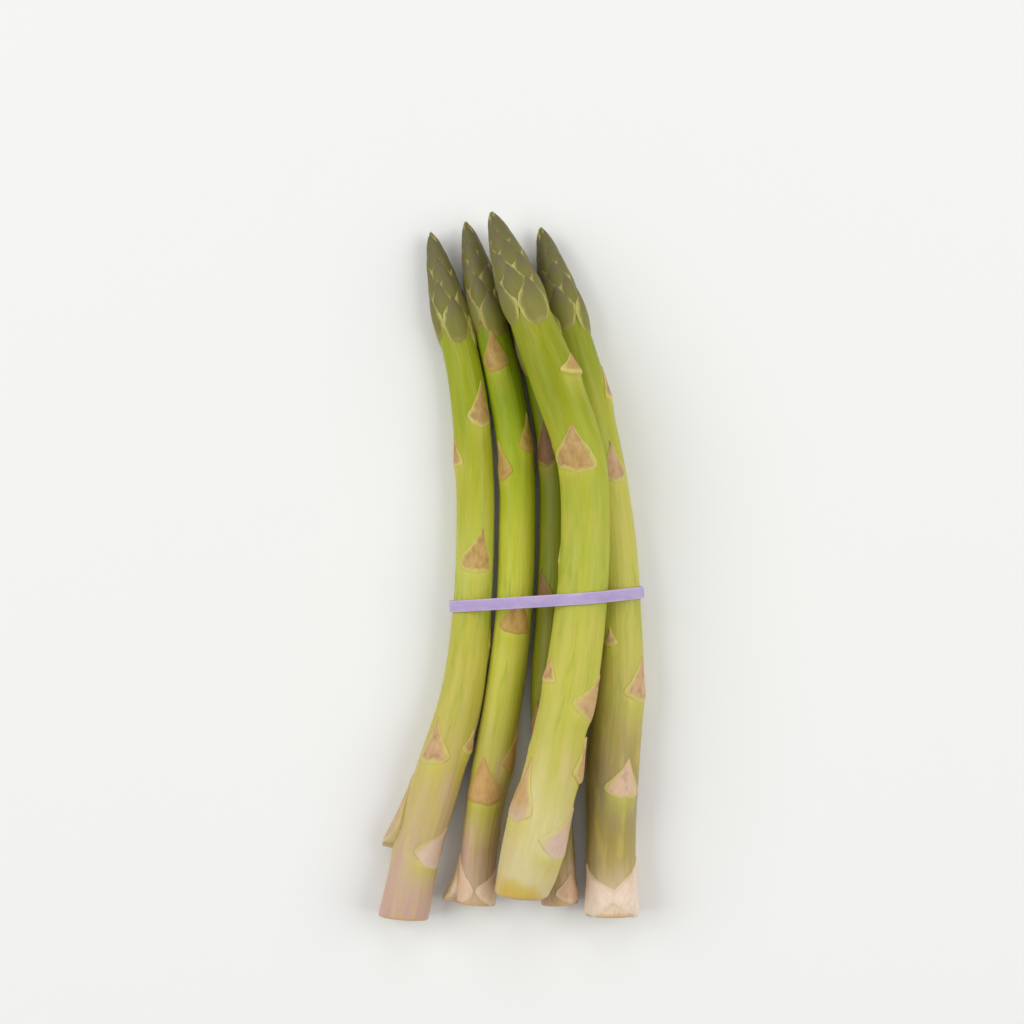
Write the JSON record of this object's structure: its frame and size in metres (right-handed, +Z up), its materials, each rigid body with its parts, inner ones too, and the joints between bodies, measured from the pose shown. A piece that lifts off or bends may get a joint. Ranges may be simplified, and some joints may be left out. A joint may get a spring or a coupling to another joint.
{
  "type": "bundle of asparagus",
  "caption": "Bundle of thick green asparagus spears with scaly pointed tips, cut square at the base and held side by side by a flat lavender elastic band.",
  "frame": {"origin": "on the table, under the middle of the bundle's bounding box", "axes": "+Z up from the table, +Y along the bundle from the cut ends to the tips, +X to the right as seen from above with the tips ahead"},
  "size_m": [0.0911, 0.2418, 0.0323],
  "materials": {
    "asparagus": "fresh plant skin, satin: yellow-green stem, darker green towards the tip, pinkish cream foot, pink-brown scales",
    "elastic": "matt lavender natural rubber"
  },
  "bodies": {
    "root": {"spear_front": "asparagus", "spear_left": "asparagus", "spear_right": "asparagus", "spear_centre_left": "asparagus", "spear_back": "asparagus", "elastic_band": "elastic"}
  },
  "joints": []
}
